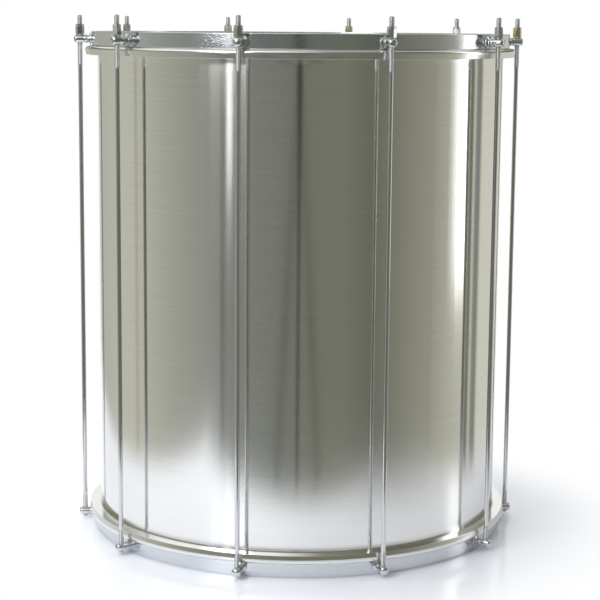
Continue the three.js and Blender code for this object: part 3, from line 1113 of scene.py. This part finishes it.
def keep_cuts(piece, *cutters, sharp_degrees=SHARP_DEGREES):
    """Keeps the result of a piece's modifiers as its mesh and removes the cutters."""
    mesh = final_mesh(piece)
    piece.modifiers.clear()
    piece.data = mesh
    for cutter in cutters:
        bpy.data.objects.remove(cutter)
    smooth_shading(mesh, sharp_degrees)
    return piece


def front_lug(name, height, countersunk):
    """A lug at the front, with its rod hole and, for an upper one, its countersink."""
    lug = turned_mesh(name, lug_outline, fitting_finish, LUG_STEPS)
    # turned upright, then laid down to point outwards at its height
    laid_down = Matrix.Rotation(math.pi / 2, 4, "X")
    lug.data.transform(Matrix.Translation((0.0, 0.0, height * MM)) @ laid_down)
    low, high = height - LUG_RADIUS - BORE_PAST, height + LUG_RADIUS + BORE_PAST
    hole = [(0, low), (BORE_RADIUS, low), (BORE_RADIUS, high), (0, high)]
    if countersunk:
        seat = height + LUG_RADIUS - SEAT_DEPTH
        hole = [
            (0, low),
            (BORE_RADIUS, low),
            (BORE_RADIUS, seat),
            (SEAT_RADIUS, seat),
            (SEAT_MOUTH, seat + SEAT_MOUTH_HEIGHT),
            (0, seat + SEAT_MOUTH_HEIGHT),
        ]
    drill = turned_at_rod("drill", hole, fitting_finish, BORE_STEPS)
    boolean(lug, "DIFFERENCE", drill)
    return keep_cuts(lug, drill)


upper_lug_height, lower_lug_height = drum_height - LUG_DROP, LUG_DROP
upper_lugs = at_stations(
    front_lug("front_upper_lug", upper_lug_height, True), "upper_lugs", fitting_finish
)
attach(upper_lugs, "upper_hoop")
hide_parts(*[f"upper_lug_{label}" for label in labels])
lower_lugs = at_stations(
    front_lug("front_lower_lug", lower_lug_height, False), "lower_lugs", fitting_finish
)
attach(lower_lugs, "drum")
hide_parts(*[f"lower_lug_{label}" for label in labels])

# %% [markdown]
# ## Tuning nuts
# A nut is a long hexagon with a cone below and a groove that sets off its upper end. Its corners
# are turned off at the top and at the bottom. It is made as a turned blank, cut to six flats and
# bored. Each nut turns by itself, so each one is a piece of its own.

# %% Nuts
ACROSS_FLATS = 9.5
NUT_HEIGHT = 12.3
NUT_STEPS, TAP_STEPS, FLATS = 48, 24, 6
NUT_SHARP_DEGREES = 28.0
CONE_TOP, CONE_END, CONE_EDGE = 4.6, 3.8, 0.2
COLLAR_HEIGHT = 2.9
NUT_GROOVE_RADIUS = 4.55
NUT_GROOVE = 0.3
# how far the corners are turned off, inwards and up or down, at the foot, the collar and the top
FOOT_TURNED, FOOT_RISE = 0.5, 0.35
COLLAR_TURNED = 0.2
TOP_TURNED, TOP_FALL = 0.9, 0.5
CUT_PAST = 3.0
YELLOW_NUTS = ("05", "07")

nut_base = nut_high.z - NUT_HEIGHT
nut_groove = NUT_HEIGHT - COLLAR_HEIGHT
corner_radius = ACROSS_FLATS / 2 / math.cos(math.pi / FLATS)
collar_radius = corner_radius - COLLAR_TURNED
nut_outline = [
    (0, -SEAT_DEPTH),
    (CONE_END - CONE_EDGE, -SEAT_DEPTH),
    (CONE_END, -SEAT_DEPTH + CONE_EDGE),
    (CONE_TOP, 0),
    (corner_radius - FOOT_TURNED, 0),
    (corner_radius, FOOT_RISE),
    (corner_radius, nut_groove - NUT_GROOVE),
    (NUT_GROOVE_RADIUS, nut_groove),
    (NUT_GROOVE_RADIUS, nut_groove + NUT_GROOVE),
    (collar_radius, nut_groove + 2 * NUT_GROOVE),
    (collar_radius, NUT_HEIGHT - TOP_FALL),
    (corner_radius - TOP_TURNED, NUT_HEIGHT),
    (0, NUT_HEIGHT),
]


def front_nut(name):
    """A nut at the front rod's place, cut to its flats and bored."""
    placed = [(radius, nut_base + height) for radius, height in nut_outline]
    nut = turned_at_rod(name, placed, nut_finish, NUT_STEPS)
    low, high = nut_base - SEAT_DEPTH - CUT_PAST, nut_base + NUT_HEIGHT + CUT_PAST
    cutters = []
    for part, radius, steps, operation in (
        ("flats", corner_radius, FLATS, "INTERSECT"),
        ("tap", BORE_RADIUS, TAP_STEPS, "DIFFERENCE"),
    ):
        post = [(0, low), (radius, low), (radius, high), (0, high)]
        cutters.append(turned_at_rod(part, post, nut_finish, steps))
        boolean(nut, operation, cutters[-1])
    return keep_cuts(nut, *cutters, sharp_degrees=NUT_SHARP_DEGREES)


for number, label in enumerate(labels):
    is_yellow = label in YELLOW_NUTS
    nut = at_stations(
        front_nut(f"front_nut_{label}"),
        f"nut_{label}",
        yellow_finish if is_yellow else nut_finish,
        first=first_station + number * station_step,
        count=1,
    )
    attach(nut, f"nut_{label}")
    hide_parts(f"tuning_nut_{label}")
